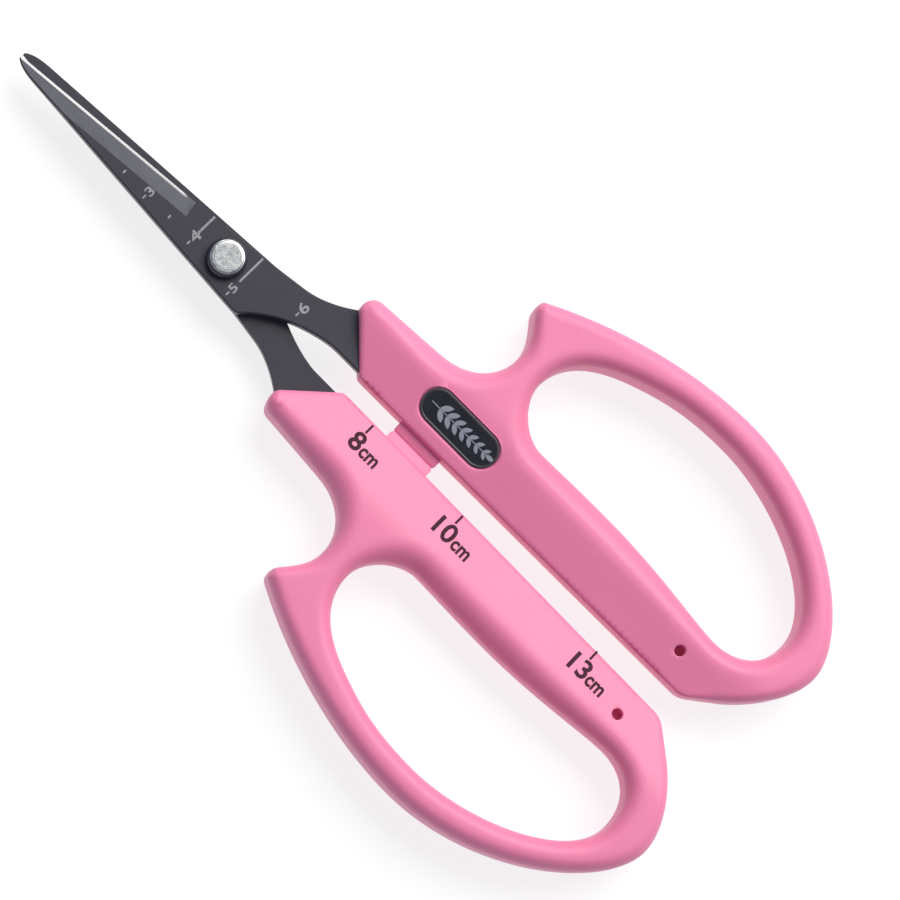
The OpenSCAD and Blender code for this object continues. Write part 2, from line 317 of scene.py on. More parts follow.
def triangles(loops, spots, lines=()):
    """Triangles over spots and closed loops. Returns the points, the faces turned
    anticlockwise, and the points' numbers for each loop."""
    coords, edges, starts = [], [], []
    for loop in loops:
        s = len(coords)
        starts.append(s)
        coords.extend(map(tuple, loop))
        edges.extend((s + i, s + (i + 1) % len(loop)) for i in range(len(loop)))
    for line in lines:
        s = len(coords)
        coords.extend(map(tuple, line))
        edges.extend((s + i, s + i + 1) for i in range(len(line) - 1))
    coords.extend(map(tuple, spots))
    out, _, faces, origin, _, _ = delaunay_2d_cdt(
        [Vector(c) for c in coords], edges, [], 0, 1e-5)
    xy = np.array([tuple(v) for v in out])
    faces = np.array(faces)
    middle = xy[faces].mean(1)
    good = inside(np.asarray(loops[0]), middle)
    for hole in loops[1:]:
        good &= ~inside(np.asarray(hole), middle)
    faces = faces[good]
    a, b, c = xy[faces[:, 0]], xy[faces[:, 1]], xy[faces[:, 2]]
    clockwise = crossed(b - a, c - a) < 0
    faces[clockwise] = faces[clockwise][:, ::-1]
    number = {}
    for k, sources in enumerate(origin):
        for s in sources:
            number[s] = k
    rings = [[number[s + i] for i in range(len(loop))] for s, loop in zip(starts, loops)]
    # the ends of lines that reach past the outline are left out
    used = np.unique(faces)
    renumber = np.full(len(xy), -1)
    renumber[used] = np.arange(len(used))
    return xy[used], renumber[faces], [[int(renumber[i]) for i in ring] for ring in rings]


# ---------------------------------------------------------------- materials


def new_material(name, base, roughness, metallic=0.0, **sockets):
    m = bpy.data.materials.new(name)
    m.use_nodes = True
    m.diffuse_color = (*base, 1)
    shader = m.node_tree.nodes["Principled BSDF"]
    shader.inputs["Base Color"].default_value = (*base, 1)
    shader.inputs["Roughness"].default_value = roughness
    shader.inputs["Metallic"].default_value = metallic
    for socket, value in sockets.items():
        shader.inputs[socket.replace("_", " ")].default_value = value
    return m, m.node_tree, shader


def node(tree, kind, **settings):
    n = tree.nodes.new(kind)
    for key, value in settings.items():
        setattr(n, key, value)
    return n


def pattern(tree, scale=(1, 1, 1), shift=(0, 0, 0)):
    """Object coordinates, centred and stretched for one pattern."""
    where = node(tree, "ShaderNodeTexCoord")
    mapping = node(tree, "ShaderNodeMapping")
    mapping.inputs["Location"].default_value = shift
    mapping.inputs["Scale"].default_value = scale
    tree.links.new(where.outputs["Object"], mapping.inputs["Vector"])
    return mapping.outputs["Vector"]


def noise(tree, vector, scale, detail=3.0, rough=0.55):
    n = node(tree, "ShaderNodeTexNoise")
    n.inputs["Scale"].default_value = scale
    n.inputs["Detail"].default_value = detail
    n.inputs["Roughness"].default_value = rough
    tree.links.new(vector, n.inputs["Vector"])
    return n.outputs["Fac"]


def tint(tree, shader, fac, low, high):
    """Base colour that follows a grey value; low and high are (place, colour)."""
    ramp = node(tree, "ShaderNodeValToRGB")
    for element, (place, colour) in zip(ramp.color_ramp.elements, (low, high)):
        element.position = place
        element.color = (*colour, 1)
    tree.links.new(fac, ramp.inputs["Fac"])
    tree.links.new(ramp.outputs["Color"], shader.inputs["Base Color"])


def roughen(tree, shader, fac, low, high):
    """Roughness that runs from low to high with a grey value."""
    span = node(tree, "ShaderNodeMapRange")
    span.inputs["To Min"].default_value = low
    span.inputs["To Max"].default_value = high
    tree.links.new(fac, span.inputs["Value"])
    tree.links.new(span.outputs["Result"], shader.inputs["Roughness"])


def bump(tree, shader, heights):
    """Chained bumps; heights are (grey value, strength, distance in metres)."""
    last = None
    for fac, strength, depth in heights:
        b = node(tree, "ShaderNodeBump")
        b.inputs["Strength"].default_value = strength
        b.inputs["Distance"].default_value = depth
        tree.links.new(fac, b.inputs["Height"])
        if last is not None:
            tree.links.new(last, b.inputs["Normal"])
        last = b.outputs["Normal"]
    tree.links.new(last, shader.inputs["Normal"])


def satin_pink():
    """Moulded handle plastic: fine spark-eroded grain, faint flow clouds."""
    m, tree, shader = new_material("satin_pink_plastic", (0.8, 0.215, 0.385), 0.46,
                                   Specular_IOR_Level=0.42, Sheen_Weight=0.12,
                                   Sheen_Roughness=0.35)
    where = pattern(tree)
    clouds = noise(tree, where, 55, 4)
    tint(tree, shader, clouds, (0.3, (0.785, 0.206, 0.374)), (0.7, (0.815, 0.224, 0.396)))
    grain = noise(tree, where, 5200, 2)
    swell = noise(tree, where, 900, 2)
    roughen(tree, shader, swell, 0.41, 0.53)
    bump(tree, shader, [(grain, 0.16, 0.00004), (swell, 0.08, 0.00008)])
    return m


def black_coat(name, base, roughness):
    """Slick dark violet-black coating over ground steel."""
    m, tree, shader = new_material(name, base, roughness, Specular_IOR_Level=0.45)
    lines = noise(tree, pattern(tree, scale=(900, 60, 900)), 6, 3)
    mottle = noise(tree, pattern(tree), 420, 3)
    tint(tree, shader, mottle, (0.3, [0.9 * v for v in base]), (0.7, [1.1 * v for v in base]))
    roughen(tree, shader, lines, roughness - 0.06, roughness + 0.06)
    bump(tree, shader, [(lines, 0.10, 0.00003), (mottle, 0.05, 0.00003)])
    return m


def bare_edge():
    """The cutting edge's honed land, polished across the edge."""
    m, tree, shader = new_material("honed_edge", (0.25, 0.25, 0.26), 0.42, 1.0)
    strokes = noise(tree, pattern(tree, scale=(3000, 300, 300)), 3, 2)
    roughen(tree, shader, strokes, 0.38, 0.46)
    bump(tree, shader, [(strokes, 0.03, 0.00002)])
    return m


def turned_steel():
    """Rivet face: fine turning rings with a few shallow dents from peening."""
    m, tree, shader = new_material("rivet_face", (0.5, 0.51, 0.52), 0.38, 1.0)
    rings = node(tree, "ShaderNodeTexWave", wave_type="RINGS", rings_direction="Z")
    rings.inputs["Scale"].default_value = 900
    rings.inputs["Distortion"].default_value = 1.4
    rings.inputs["Detail"].default_value = 2
    tree.links.new(pattern(tree, shift=tuple(-c for c in PIVOT)), rings.inputs["Vector"])
    dents = noise(tree, pattern(tree), 1300, 3, 0.5)
    tint(tree, shader, dents, (0.34, (0.36, 0.37, 0.38)), (0.62, (0.56, 0.57, 0.58)))
    roughen(tree, shader, rings.outputs["Fac"], 0.28, 0.4)
    bump(tree, shader, [(rings.outputs["Fac"], 0.06, 0.00002), (dents, 0.22, 0.00012)])
    return m


def print_ink():
    """Pad-printed scale on the handle."""
    m, tree, shader = new_material("scale_print", (0.045, 0.012, 0.025), 0.7,
                                   Specular_IOR_Level=0.15)
    tone_noise = noise(tree, pattern(tree), 2600, 3)
    tint(tree, shader, tone_noise, (0.3, (0.04, 0.01, 0.021)), (0.75, (0.075, 0.022, 0.042)))
    return m


def etched_mark():
    """Laser-etched scale on the blade, pale where the coating is burnt off."""
    m, tree, shader = new_material("etched_scale", (0.4, 0.39, 0.43), 0.6, 0.2)
    speckle = noise(tree, pattern(tree), 5200, 3)
    tint(tree, shader, speckle, (0.32, (0.13, 0.125, 0.15)), (0.6, (0.36, 0.35, 0.39)))
    return m


def label_gloss():
    """Dark glossy label face."""
    m, tree, shader = new_material("label_gloss", (0.014, 0.015, 0.022), 0.24)
    haze = noise(tree, pattern(tree), 500, 3)
    roughen(tree, shader, haze, 0.2, 0.3)
    tint(tree, shader, haze, (0.3, (0.012, 0.013, 0.019)), (0.7, (0.018, 0.019, 0.028)))
    return m


def label_rim():
    """The label's raised rim, a soft grey lighter than the face: a painted highlight along the
    rim.
    """
    m, tree, shader = new_material("label_rim", (0.05, 0.047, 0.055), 0.42)
    tone_noise = noise(tree, pattern(tree), 1400, 3)
    tint(tree, shader, tone_noise, (0.3, (0.04, 0.037, 0.045)), (0.7, (0.065, 0.06, 0.07)))
    return m


def label_silver():
    """Silver foil of the motif."""
    m, tree, shader = new_material("label_silver", (0.62, 0.65, 0.7), 0.36, 0.85)
    foil = noise(tree, pattern(tree), 3800, 2)
    roughen(tree, shader, foil, 0.3, 0.44)
    bump(tree, shader, [(foil, 0.12, 0.00002)])
    return m


PINK_PLASTIC = satin_pink()
BLACK_COAT = black_coat("black_coating", (0.024, 0.0225, 0.038), 0.4)
# the ground bevel's coat: rougher than the flats, and its lighter colour is painted light where
# the bevel faces the key light
BEVEL_COAT_PAINTED_LIGHT = black_coat("coating_over_grind_painted_light", (0.072, 0.073, 0.095), 0.5)
HONED_EDGE = bare_edge()
RIVET_FACE = turned_steel()
SCALE_PRINT = print_ink()
ETCHED_SCALE = etched_mark()
LABEL_GLOSS = label_gloss()
LABEL_RIM = label_rim()
LABEL_SILVER = label_silver()

# ---------------------------------------------------------------- handles

RIM_STEP = 0.6      # spacing of points along the outlines
FIELD_STEP = 0.62   # spacing of points over the faces
DRAFT = 0.06        # lean of the side walls, from the parting line in
SOFTNESS = 0.35     # softness of the ridge
EDGE_TURNS = (9, 18, 28, 38, 49, 60, 71, 82)        # degrees round an edge, a row at each
WALL_ROWS = (0.72, 0.36, 0.0, -0.36, -0.72)         # up a side wall, which runs from 1 to -1

# Outside of a handle. The three extra values are how far the rounded edge comes in, how
# far it drops, and its power: 2 is round, less turns down sooner.
handle_knots = [
    ((CORNER_X + 1.2, GAP_HALF + GAP_FLARE), -0.4, 1.1, 1, True, 0.5, 0.45, 2),
    ((FRONT_X - FRONT_SLANT - 1.8, GAP_HALF), 0, 1, 0.9, False, 0.5, 0.45, 2),
    ((FRONT_X - FRONT_SLANT - 0.1, GAP_HALF + 0.7), 45, 0.9, 1, True, 0.6, 0.5, 2),
    ((FRONT_X - 0.5, GAP_HALF + FRONT_SLANT + 0.2), 45, 1, 0.5, False, 0.7, 0.7, 2),
    ((FRONT_X, GAP_HALF + FRONT_SLANT + 1.5), 90, 0.5, 0.6, False, 1.4, 1.4, 2),
    ((FRONT_X - 1.9, FRONT_TOP_Y), 176, 1.3, 5, False, 2.8, 2.7, 1.8),
    ((NOTCH_X + 8.5, FRONT_TOP_Y + 1.05), 175, 4, 4.2, False, 3.9, 3.5, 1.65),
    ((NOTCH_X, NOTCH_Y), 90, 5.2, 2.6, False, 2.3, 2.8, 1.9),
    ((HORN_X - 0.7, HORN_Y - 1.2), 50, 3, 0.5, False, 1.6, 2.3, 2),
    ((HORN_X, HORN_Y + 0.4), 90, 0.6, 1.1, False, 1.5, 2.2, 2),
    ((HORN_X - 1.5, HORN_Y + 2.1), 152.5, 0.8, 11.5, False, 2.0, 2.6, 2),
    ((TAIL_X + 35, LOOP_Y), 180, 12.5, 18, False, 2.3, 2.8, 2),
    ((TAIL_X, GAP_HALF + 17.5), 270, 8.8, 4.4, False, 2.2, 2.8, 2),
    ((CORNER_X - 5.7, GAP_HALF + 4.9), 318.5, 4.8, 2, True, 1.3, 1.6, 2),
    ((CORNER_X - 1.6, GAP_HALF + GAP_FLARE + 1.15), 320, 1, 1.1, False, 0.6, 0.6, 2),
]

# Finger loop, anticlockwise from its end nearest the rivet
loop_knots = [
    ((HOLE_FRONT_X, NOTCH_Y - 0.4), 90, 4, 6.2, False, 2.3, 2.8, 1.9),
    ((HOLE_FRONT_X - HOLE_LEN * 0.2, HOLE_OUT_Y - 2.8), 161, 7, 5, False, 2.2, 2.6, 2),
    ((HOLE_FRONT_X - HOLE_LEN * 0.5, HOLE_OUT_Y), 180, 8, 12, False, 2.2, 2.6, 2),
    ((HOLE_BACK_X, HOLE_TAIL_Y + 8), 270, 8.5, 5, False, 2.4, 2.8, 2),
    ((HOLE_BACK_X + 8.5, HOLE_TAIL_Y), 0, 5.2, 4, False, 3.0, 3.2, 1.8),
    ((HOLE_FRONT_X - HOLE_LEN * 0.4, HOLE_IN_Y), 0, 12, 8, False, 4.2, 3.6, 1.6),
    ((HOLE_FRONT_X - 7.8, HOLE_IN_Y - 0.25), 0, 3, 3.4, False, 4.0, 3.6, 1.65),
]

outside, outside_edge = closed_curve(handle_knots, RIM_STEP)
loop, loop_edge = closed_curve(loop_knots, RIM_STEP)
# the loop runs anticlockwise, so material lies to its right
outside_rim = outside + left_normals(outside) * DRAFT
loop_rim = loop - left_normals(loop) * DRAFT


def face_base(xy):
    """Height of the sloping face and the level top, before the edges are rounded."""
    rise = GAP_SIDE_T / 2 + (xy[:, 1] - GAP_HALF) * math.tan(SLOPE)
    top = HANDLE_T / 2
    low = np.minimum(rise, top)
    return low - SOFTNESS * np.log1p(np.exp(-np.abs(rise - top) / SOFTNESS))


def edge_drop(xy, rim, edge):
    """How far the rounded edge along one outline lowers the face."""
    gap, place = distance(rim, xy)
    come_in, drop, power = at_place(edge, place).T
    part = np.clip(1 - gap / come_in, 0, 1)
    return drop * (1 - (1 - part ** power) ** (1 / power)), gap / come_in


def face_height(xy):
    """Height of a handle's face above the middle plane."""
    xy = np.asarray(xy, float)
    out_drop, _ = edge_drop(xy, outside_rim, outside_edge)
    loop_drop, _ = edge_drop(xy, loop_rim, loop_edge)
    return face_base(xy) - out_drop - loop_drop


def off_edges(points, least):
    """Those points on the face that lie further in than least times each rounded edge."""
    points = points[inside(outside_rim, points) & ~inside(loop_rim, points)]
    _, out_part = edge_drop(points, outside_rim, outside_edge)
    _, loop_part = edge_drop(points, loop_rim, loop_edge)
    return points[(out_part > least) & (loop_part > least)]


def face_spots():
    """Points over a handle's face: rows that follow each rounded edge, then a field."""
    rows = []
    for rim, edge, side in ((outside_rim, outside_edge, 1), (loop_rim, loop_edge, -1)):
        inwards = left_normals(rim) * side
        for turn in EDGE_TURNS:
            step = edge[:, :1] * (1 - math.cos(math.radians(turn)))
            rows.append(inset_row(rim, inwards * step, step[:, 0] * 0.985))
    x = np.arange(TAIL_X - 1, FRONT_X + 1, FIELD_STEP)
    y = np.arange(GAP_HALF - 1, LOOP_Y + 1, FIELD_STEP * math.sqrt(0.75))
    field = np.array([(a + (i % 2) * FIELD_STEP / 2, b) for i, b in enumerate(y) for a in x])
    return np.concatenate([off_edges(np.concatenate(rows), 0.01), off_edges(field, 1.05)])


FACE_SPOTS = face_spots()


def circle(x, y, radius, count=40):
    return np.array([(x + radius * math.cos(2 * math.pi * i / count),
                      y + radius * math.sin(2 * math.pi * i / count)) for i in range(count)])


def pill(length, width, count=18):
    """Stadium outline about the origin, anticlockwise."""
    r, half = width / 2, (length - width) / 2
    ends = []
    for side, start in ((1, -90), (-1, 90)):
        ends += [(side * half + r * math.cos(math.radians(start + 180 * i / count)),
                  r * math.sin(math.radians(start + 180 * i / count))) for i in range(count + 1)]
    straight = []
    for a, b in zip(ends, ends[1:] + ends[:1]):
        straight.append(a)
        gap = math.dist(a, b)
        steps = max(1, round(gap / 0.7))
        for k in range(1, steps):
            t = k / steps
            bulge = t * (1 - t) * 4 * BOW * steps ** 2
            straight.append((a[0] + (b[0] - a[0]) * t, a[1] + math.copysign(bulge, a[1])))
    return np.array(straight)


def on_slope(u, v, lift=0.0):
    """A place in the label's own plane to x, y, z, for a handle on the +Y side."""
    out = LABEL_OUT + v
    return (LABEL_X + u,
            GAP_HALF + out * math.cos(SLOPE) - lift * math.sin(SLOPE),
            GAP_SIDE_T / 2 + out * math.sin(SLOPE) + lift * math.cos(SLOPE))


def face_skin(shell, sign, recess):
    """One face of a handle with its pockets; sign is 1 for the upper face. Returns the
    point numbers of the outside row and of the loop row."""
    pin_mouth = circle(PIN_X, PIN_Y, PIN_D / 2 + PIN_MOUTH)
    loops = [outside_rim, loop_rim, pin_mouth]
    off_pin = np.linalg.norm(FACE_SPOTS - (PIN_X, PIN_Y), axis=1)
    clear = FACE_SPOTS[off_pin > PIN_D / 2 + PIN_CLEAR]
    if recess:
        rim_uv = pill(LABEL_LEN + RECESS_MOUTH, LABEL_W + RECESS_MOUTH)
        mouth = np.array([on_slope(u, v)[:2] for u, v in rim_uv])
        loops.append(mouth)
        gap, _ = distance(mouth, clear)
        clear = clear[~inside(mouth, clear) & (gap > RECESS_CLEAR)]
    xy, faces, rings = triangles(loops, clear)
    ids = shell.add_points(np.column_stack([xy, face_height(xy) * sign]))
    for f in faces:
        shell.face([ids[i] for i in (f if sign > 0 else f[::-1])])
    rings = [[ids[i] for i in ring] for ring in rings]

    def well(ring, rows, floor):
        """Strips from a mouth down through rows to a flat floor."""
        last = ring
        for row in rows:
            new = shell.add_points(row)
            shell.strip(*((new, last) if sign < 0 else (last, new)))
            last = new
        shell.fan(last, floor, sign < 0)

    height = face_height(pin_mouth)
    floor_z = float(np.mean(height)) - PIN_DEPTH
    rows = []
    for grow, down in PIN_ROWS:
        row = circle(PIN_X, PIN_Y, PIN_D / 2 + grow)
        rows.append([(x, y, sign * (h - down)) for (x, y), h in zip(row, height)])
    rows.append([(x, y, sign * floor_z) for x, y in row])
    well(rings[2], rows, (PIN_X, PIN_Y, sign * floor_z))
    if recess:
        rows = []
        for grow, lift in RECESS_ROWS:
            row = [on_slope(u, v, lift) for u, v in pill(LABEL_LEN + grow, LABEL_W + grow)]
            rows.append([(x, y, sign * z) for x, y, z in row])
        x, y, z = on_slope(0, 0, -LABEL_T)
        well(rings[3], rows, (x, y, sign * z))
    return rings[0], rings[1]


def add_walls(shell, upper, lower, rim_points, part_points, outer):
    """Side wall between the two faces, with the mould's parting line half way."""
    top = np.array([shell.points[i] for i in upper])[:, 2]
    bottom = np.array([shell.points[i] for i in lower])[:, 2]
    rows = [lower]
    for t in WALL_ROWS:
        lean = 1 - abs(t)
        xy = rim_points + (part_points - rim_points) * lean
        z = bottom * t if t > 0 else top * -t
        rows.append(shell.add_points(np.column_stack([xy, z])))
    rows.append(upper)
    for a, b in zip(rows, rows[1:]):
        shell.strip(*((a, b) if outer else (b, a)))


def add_lug(shell):
    """Stop lug, whose faces slope down to the face that meets the other lug."""
    form = bmesh.new()
    half, root = LUG_LEN / 2, GAP_HALF + 0.9
    chamfer, seam, rounding = 0.4, 0.01, 0.13
    middle = FRONT_X - LUG_BACK - half

    def half_t(y):
        return (LUG_T + (LUG_ROOT_T - LUG_T) * y / (GAP_HALF + 1)) / 2

    plan = [(-half, root), (-half, chamfer), (-half + chamfer, seam),
            (half - chamfer, seam), (half, chamfer), (half, root)]
    rows = [[form.verts.new((middle + x, y, s * half_t(y))) for x, y in plan] for s in (-1, 1)]
    form.faces.new(rows[0][::-1])
    form.faces.new(rows[1])
    for i in range(len(plan)):
        j = (i + 1) % len(plan)
        form.faces.new((rows[0][i], rows[0][j], rows[1][j], rows[1][i]))
    bmesh.ops.recalc_face_normals(form, faces=form.faces)
    bmesh.ops.bevel(form, geom=list(form.edges), offset=rounding, segments=2,
                    profile=0.5, affect="EDGES")
    bmesh.ops.triangulate(form, faces=form.faces)
    form.verts.index_update()
    ids = shell.add_points([v.co for v in form.verts])
    for f in form.faces:
        shell.face([ids[v.index] for v in f.verts])
    form.free()


def handle_shell(label_side):
    """A handle on the +Y side. label_side is the face that has the label's recess:
    1 upper, -1 lower, 0 none."""
    shell = Shell()
    up_out, up_loop = face_skin(shell, 1, label_side == 1)
    low_out, low_loop = face_skin(shell, -1, label_side == -1)
    add_walls(shell, up_out, low_out, outside_rim, outside, True)
    add_walls(shell, up_loop, low_loop, loop_rim, loop, False)
    add_lug(shell)
    return shell


left = handle_shell(0)
left_handle = mesh_piece("left_handle_moulding", left.points, left.faces, [PINK_PLASTIC], 40)
# turned over, the recess made on the lower face comes up on top
right = handle_shell(-1)
right_handle = mesh_piece("right_handle_moulding", turned(right.points), right.faces,
                          [PINK_PLASTIC], 40)

# ---------------------------------------------------------------- blades

EDGE_ANGLE = math.atan((TIP_Y - HEEL[1]) / (BLADE_REACH - HEEL[0]))
ALONG = np.array([math.cos(EDGE_ANGLE), math.sin(EDGE_ANGLE)])
ACROSS = np.array([-ALONG[1], ALONG[0]])
BEVEL_W = 3.0       # width of the ground bevel
BEVEL_FROM = -1.6   # where the bevel starts, measured along the edge from the heel
RUN_OUT = 0.3       # length of the bevel's steep end
LAND_W = 0.42       # width of the honed land
LAND_FROM = 0.35    # where the land starts
LAND_T = 0.3        # thickness where land and bevel meet
LAND_BLEND = 0.8    # length over which the bevel gives way to the land
CHAMFER = 0.22      # broken corners along the spine and neck
FOOT = 0.08         # broken corner along the inner face
HOLLOW_IN = 2.0     # how far the hollow keeps from the inner face's edges
HOLLOW_DEPTH = 0.1
HOLLOW_EDGE = 1.0   # width over which the hollow comes to its depth
BORDER_ROWS = (0.7, 1.4, HOLLOW_IN)     # rows of points in the flat border
BLADE_STEP = 0.45   # spacing of points along the outline

# Outline of the upper blade. The extra value is 1 where the corner is broken, 0 where the
# edge is ground.
blade_knots = [
    ((TANG_END_X + TANG_W / 2, -TANG_IN_Y - TANG_W), 0, TANG_W * 0.28, 4, True, 1),
    ((FRONT_X - 6, -TANG_IN_Y - TANG_W), 0, 4, 3, False, 1),
    ((FRONT_X - 0.3, -GAP_HALF - FRONT_SLANT - 0.65), 37, 2, 2.4, False, 1),
    ((-12, -5.5), 8, 3.4, 3, False, 1),
    ((-3.5, -4.4), 5.5, 3, 4, False, 1),
    (HEEL, 7, 4, 1, True, 0),
    ((BLADE_REACH - 0.12, TIP_Y), 5.35, 1, 0.1, False, 0),
    ((BLADE_REACH - 0.12, TIP_Y + 0.5), 142, 0.15, 1.3, False, 1),
    ((BLADE_REACH - 5, 1.9), 176.5, 2.4, 3, True, 1),
    ((-6.2, 5.05), 184, 1, 1, False, 1),
    ((-7.8, 4.3), 230, 0.8, 1.6, False, 1),
    ((-13.9, 0), 204, 2.4, 2, False, 1),
    ((FRONT_X - 2.6, -NECK_Y), 180, 3, 2, True, 1),
    ((FRONT_X - FRONT_SLANT - 0.6, -NECK_Y), 180, 1, 0.8, False, 1),
    ((FRONT_X - FRONT_SLANT - 3.2, -TANG_IN_Y), 180, 1.4, 2, True, 1),
    ((TANG_END_X + TANG_W / 2, -TANG_IN_Y), 180, 2, TANG_W * 0.28, False, 1),
    ((TANG_END_X, -TANG_IN_Y - TANG_W / 2), 270, TANG_W * 0.28, TANG_W * 0.28, False, 1),
]


def edge_frame(xy):
    """Distance along the cutting edge from the heel, and in from it."""
    rel = np.asarray(xy, float) - HEEL
    return rel @ ALONG, rel @ ACROSS


def ground_height(xy):
    """Height of the blade's outer face with the bevel and the land ground in."""
    along, in_from = edge_frame(xy)
    bevel = LAND_T + (in_from - LAND_W) * (BLADE_T - LAND_T) / (BEVEL_W - LAND_W)
    land = EDGE_T + in_from * (LAND_T - EDGE_T) / LAND_W
    # before the land starts the bevel runs on down to the edge
    plain = EDGE_T + in_from * (BLADE_T - EDGE_T) / BEVEL_W
    blend = np.clip((along - LAND_FROM) / LAND_BLEND, 0, 1)
    low = np.where(in_from < LAND_W, land, bevel)
    low = plain * (1 - blend) + low * blend
    ground = np.clip(low, EDGE_T, BLADE_T)
    run = np.clip((along - BEVEL_FROM) / RUN_OUT, 0, 1)
    return BLADE_T * (1 - run) + ground * run


def cut_in(outlines, cuts):
    """Extra points where straight cuts cross the first of several matching outlines."""
    first = outlines[0]
    ahead = np.roll(first, -1, 0)
    extra = []
    for i, (p, q) in enumerate(zip(first, ahead)):
        for a, b in cuts:
            turn = crossed(q - p, b - a)
            if abs(turn) < 1e-12:
                continue
            t, u = crossed(a - p, b - a) / turn, crossed(a - p, q - p) / turn
            if 1e-4 < t < 1 - 1e-4 and 0 <= u <= 1:
                extra.append((i, t))
    extra.sort()
    places = [i for i, _ in extra]
    share = np.array([t for _, t in extra])[:, None]
    grown = []
    for rows in outlines:
        new = rows[places] * (1 - share) + np.roll(rows, -1, 0)[places] * share
        if rows is not first and rows.shape[1] == 2:
            # off the line by a hair, so that no three points are in line
            new = new - left_normals(rows)[places] * OFF_LINE
        grown.append(np.insert(rows, [i + 1 for i in places], new, axis=0))
    return grown


def blade_shell():
    """Upper blade with its neck and tang."""
    shell = Shell()
    rim, soft = closed_curve(blade_knots, BLADE_STEP)
    soft = np.where(soft > 0.5, 1.0, 0.0)
    normals = left_normals(rim)
    far, beyond = 60.0, -4.0        # well past the tip, well outside the edge

    def line(along_a, in_a, along_b, in_b):
        return [HEEL + ALONG * along_a + ACROSS * in_a, HEEL + ALONG * along_b + ACROSS * in_b]

    run_end, blend_end = BEVEL_FROM + RUN_OUT, LAND_FROM + LAND_BLEND
    lines = [line(BEVEL_FROM, BEVEL_W, far, BEVEL_W),
             line(LAND_FROM, LAND_W, far, LAND_W),
             line(BEVEL_FROM, beyond, BEVEL_FROM, BEVEL_W),
             line(run_end, beyond, run_end, BEVEL_W),
             line(LAND_FROM, beyond, LAND_FROM, LAND_W),
             line(blend_end, beyond, blend_end, LAND_W)]
    inset, rim, foot_in, soft = cut_in(
        [rim + normals * CHAMFER * soft, rim, rim + normals * FOOT * soft, soft], lines)
    on_edge = soft[:, 0] < 0.5
    bore = circle(0, 0, BLADE_BORE_D / 2, 48)
    xy, faces, rings = triangles([inset, bore], [], lines)
    ids = shell.add_points(np.column_stack([xy, ground_height(xy)]))
    along, in_from = edge_frame(xy[faces].mean(1))
    ground = (along > BEVEL_FROM) & (in_from < BEVEL_W)
    honed = (along > LAND_FROM) & (in_from < LAND_W)
    for f, h, g in zip(faces, honed, ground):
        shell.face([ids[i] for i in f], 1 if h else 2 if g else 0)
    top_ring = [ids[i] for i in rings[0]]
    bore_top = [ids[i] for i in rings[1]]
    # the broken corner: from the inset row out and down to the side wall
    top_z = ground_height(inset)
    wall_z = np.where(on_edge, top_z, np.maximum(top_z - CHAMFER, FACE_GAP + 0.1))
    wall = shell.add_points(np.column_stack([rim, wall_z]))
    shell.strip(wall, top_ring)
    low_z = np.where(on_edge, FACE_GAP, FACE_GAP + FOOT)
    low_wall = shell.add_points(np.column_stack([rim, low_z]))
    shell.strip(low_wall, wall)
    # inner face, with the long shallow hollow well inside a flat border
    x, y = np.arange(HEEL[0] + 1, BLADE_REACH - 5, 0.6), np.arange(-2.4, 4.6, 0.4)
    hollow = np.array([(a, b) for a in x for b in y])
    gap, _ = distance(foot_in, hollow)
    hollow = [hollow[inside(foot_in, hollow) & (gap > HOLLOW_IN + 0.25)]]
    for step in BORDER_ROWS:
        row = inset_row(foot_in, left_normals(foot_in) * step, step * 0.99)
        hollow.append(row[row[:, 0] > HEEL[0] - 4])
    hollow = np.concatenate(hollow)
    xy, faces, rings = triangles([foot_in, bore], hollow)
    along, _ = edge_frame(xy)
    gap, _ = distance(foot_in, xy)
    part = np.clip((gap - HOLLOW_IN) / HOLLOW_EDGE, 0, 1) * np.clip((along - 1.0) / 2.5, 0, 1)
    low = shell.add_points(np.column_stack([xy, FACE_GAP + HOLLOW_DEPTH * part * (2 - part)]))
    for f in faces:
        shell.face([low[i] for i in f[::-1]])
    shell.strip([low[i] for i in rings[0]], low_wall)
    shell.strip(bore_top, [low[i] for i in rings[1]])
    return shell


blade = blade_shell()
upper_blade, lower_blade = [
    mesh_piece(name, points, blade.faces, [BLACK_COAT, HONED_EDGE, BEVEL_COAT_PAINTED_LIGHT], 12, blade.kinds)
    for name, points in (("upper_blade_ground", blade.points),
                         ("lower_blade_ground", turned(blade.points)))]

# ---------------------------------------------------------------- rivet


TURN_COUNT = 96     # points round the rivet and the washer


def turned_row(shell, r, z):
    """Points round the rivet's axis."""
    return shell.add_points([(x, y, z) for x, y in circle(0, 0, r, TURN_COUNT)])


def revolved(profile, kinds):
    """Closed solid of revolution about the rivet's axis. The profile runs from the
    axis at the bottom, outwards and up, back to the axis."""
    shell = Shell()
    rows = [turned_row(shell, r, z) for r, z in profile[1:-1]]
    shell.fan(rows[0], (0, 0, profile[0][1]), True, kinds[0])
    shell.fan(rows[-1], (0, 0, profile[-1][1]), False, kinds[-1])
    for a, b, kind in zip(rows, rows[1:], kinds[1:]):
        shell.strip(a, b, kind)
    return shell


def shoulder(r1, z1, r2, z2, steps=8):
    """Quarter of an ellipse from one radius and height to another, upright at its start."""
    return [(r2 + (r1 - r2) * math.cos(math.pi / 2 * i / steps),
             z1 + (z2 - z1) * math.sin(math.pi / 2 * i / steps)) for i in range(steps + 1)]


